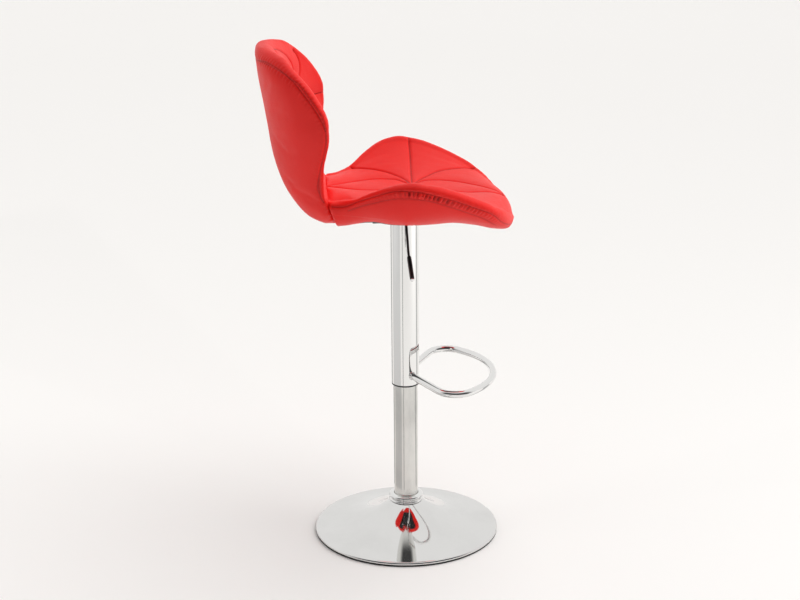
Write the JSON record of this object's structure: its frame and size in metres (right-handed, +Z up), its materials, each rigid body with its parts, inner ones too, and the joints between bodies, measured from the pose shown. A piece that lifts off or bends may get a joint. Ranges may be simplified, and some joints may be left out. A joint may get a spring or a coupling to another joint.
{
  "type": "gas lift bar stool",
  "caption": "Height-adjustable swivel bar stool with a quilted bucket seat and back, lever-released gas column, fixed footrest ring and trumpet base.",
  "frame": {"origin": "on the floor, under the centre of the stool's bounding box at full height", "axes": "+Z up; the sitter looks along -Y; +X is the sitter's left"},
  "size_m": [0.447, 0.5055, 1.0373],
  "materials": {
    "chrome": "polished chrome plate",
    "zinc": "zinc plated steel",
    "dark_steel": "black painted steel",
    "rubber": "matt black rubber",
    "black_plastic": "fine grain black plastic",
    "nylon": "off-white nylon",
    "shell_cover": "moulded plywood covered in smooth red coated fabric",
    "pad_cover": "red coated fabric over foam, fine grain, soft sheen"
  },
  "bodies": {
    "base": {"base_shell": "chrome", "base_floor_ring": "rubber", "base_hub": "dark_steel", "base_collar": "chrome", "column_tube": "chrome", "column_end_plate": "zinc", "column_guide_bush": "nylon", "bearing_lower_washer": "zinc", "bearing_ball_cage": "zinc"},
    "piston_set": {"piston_rod": "zinc", "piston": "zinc", "bearing_upper_washer": "zinc", "rubber_buffer": "rubber", "rod_clip": "zinc"},
    "lift": {"gas_cylinder": "dark_steel", "cylinder_end_guide": "nylon", "cover_tube": "chrome", "cover_guide_ring": "black_plastic", "cover_top_cap": "black_plastic", "footrest_ring": "chrome", "seat_hub": "dark_steel", "seat_pan": "dark_steel", "seat_bolt_1": "zinc", "seat_bolt_2": "zinc", "seat_bolt_3": "zinc", "seat_bolt_4": "zinc", "seat_washer_1": "zinc", "seat_washer_2": "zinc", "seat_washer_3": "zinc", "seat_washer_4": "zinc", "tee_nut_1": "zinc", "tee_nut_2": "zinc", "tee_nut_3": "zinc", "tee_nut_4": "zinc", "lever_bracket": "zinc", "lever_pivot_pin": "zinc", "seat_shell": "shell_cover", "seat_cushion": "pad_cover", "back_shell": "shell_cover", "backrest_cushion": "pad_cover"},
    "lever": {"lever_rod": "chrome", "lever_grip": "black_plastic"},
    "release_pin": {"release_pin": "zinc"}
  },
  "joints": [
    {"name": "seat_swivel", "type": "hinge", "parent": "base", "child": "piston_set", "pos_m": [0, -0.0365, 0.025], "axis": [0, 0, 1], "continuous": true},
    {"name": "height_slide", "type": "slide", "parent": "piston_set", "child": "lift", "axis": [0, 0, 1], "range_m": [-0.21, 0]},
    {"name": "lever_pull", "type": "hinge", "parent": "lift", "child": "lever", "pos_m": [-0.03, -0.0365, 0.6945], "axis": [0, 1, 0], "range_deg": [0, 7], "stiffness_Nm_per_rad": 3, "springref_deg": -4.98},
    {"name": "release_pin_travel", "type": "slide", "parent": "lift", "child": "release_pin", "axis": [0, 0, 1], "range_m": [-0.0042, 0]}
  ],
  "couplings": [
    {"joint": "release_pin_travel", "follows": "lever_pull", "m_per_rad": -0.034}
  ]
}
